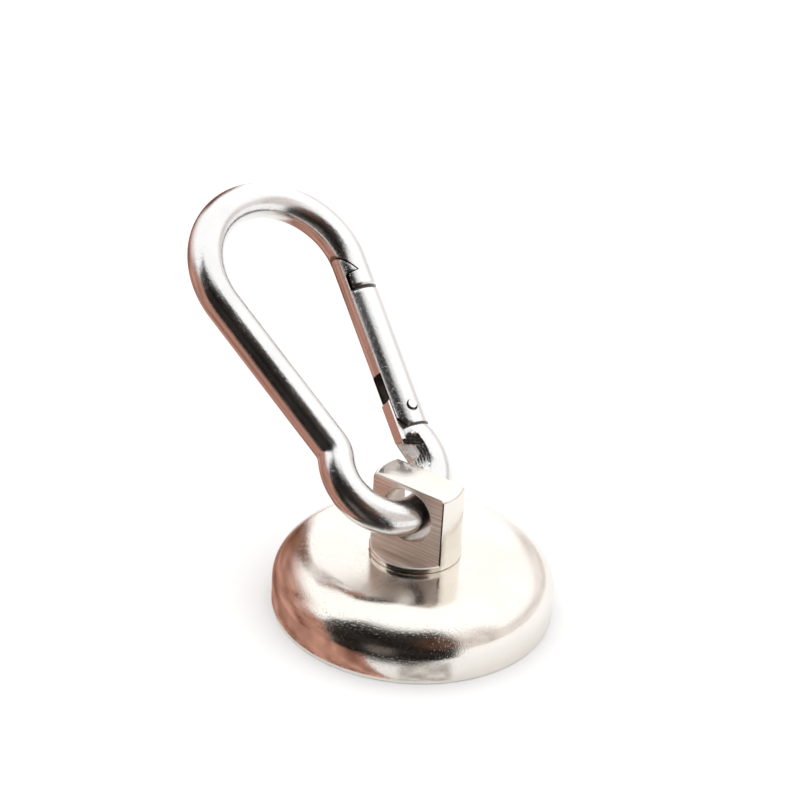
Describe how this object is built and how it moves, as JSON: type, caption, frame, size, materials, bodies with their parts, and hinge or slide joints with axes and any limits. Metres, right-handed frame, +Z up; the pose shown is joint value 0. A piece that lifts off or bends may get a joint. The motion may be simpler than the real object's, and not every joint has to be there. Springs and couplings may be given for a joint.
{
  "type": "fishing magnet",
  "caption": "Round pot magnet with a rounded shoulder, a swivelling eye stud on top and a sprung-gate snap hook through the eye.",
  "frame": {"origin": "centre of the magnet's flat pulling face", "axes": "+Z up out of the cup along the stud, Y along the eye's hole with the hook's gate on the +Y side, X across the stud's flats"},
  "size_m": [0.0558, 0.0365, 0.0449],
  "materials": {
    "nickel": "polished nickel plate",
    "magnet": "nickel plated, satin",
    "resin": "cured resin",
    "stud": "milled and nickel plated",
    "hook": "polished stainless steel",
    "pin": "riveted end",
    "spring": "drawn"
  },
  "bodies": {
    "magnet": {"pot_cup": "nickel", "ring_magnet": "magnet", "resin_ring": "resin", "bore_plug": "resin"},
    "eye": {"eye_stud": "stud", "retaining_washer": "stud"},
    "hook": {"hook_body": "hook"},
    "gate": {"hook_gate": "hook", "gate_pin": "pin", "gate_spring": "spring"},
    "plunger": {"spring_plunger": "spring"}
  },
  "joints": [
    {"name": "eye_swivel", "type": "hinge", "parent": "magnet", "child": "eye", "pos_m": [0, 0, 0.0144], "axis": [0, 0, 1], "continuous": true},
    {"name": "hook_swing", "type": "hinge", "parent": "eye", "child": "hook", "pos_m": [0, 0, 0.0144], "axis": [0, 1, 0], "range_deg": [-52, 152]},
    {"name": "gate_hinge", "type": "hinge", "parent": "hook", "child": "gate", "pos_m": [-0.00791, 0.00739, 0.02201], "axis": [0.5967, -0.1308, 0.7917], "range_deg": [0, 30], "stiffness_Nm_per_rad": 0.05, "springref_deg": -14.32},
    {"name": "plunger_slide", "type": "slide", "parent": "gate", "child": "plunger", "axis": [-0.712, 0.3688, 0.5975], "range_m": [0, 0.0008], "deforming": ["gate_spring"]}
  ],
  "couplings": [
    {"joint": "plunger_slide", "follows": "gate_hinge", "m_per_rad": 0.0015}
  ]
}
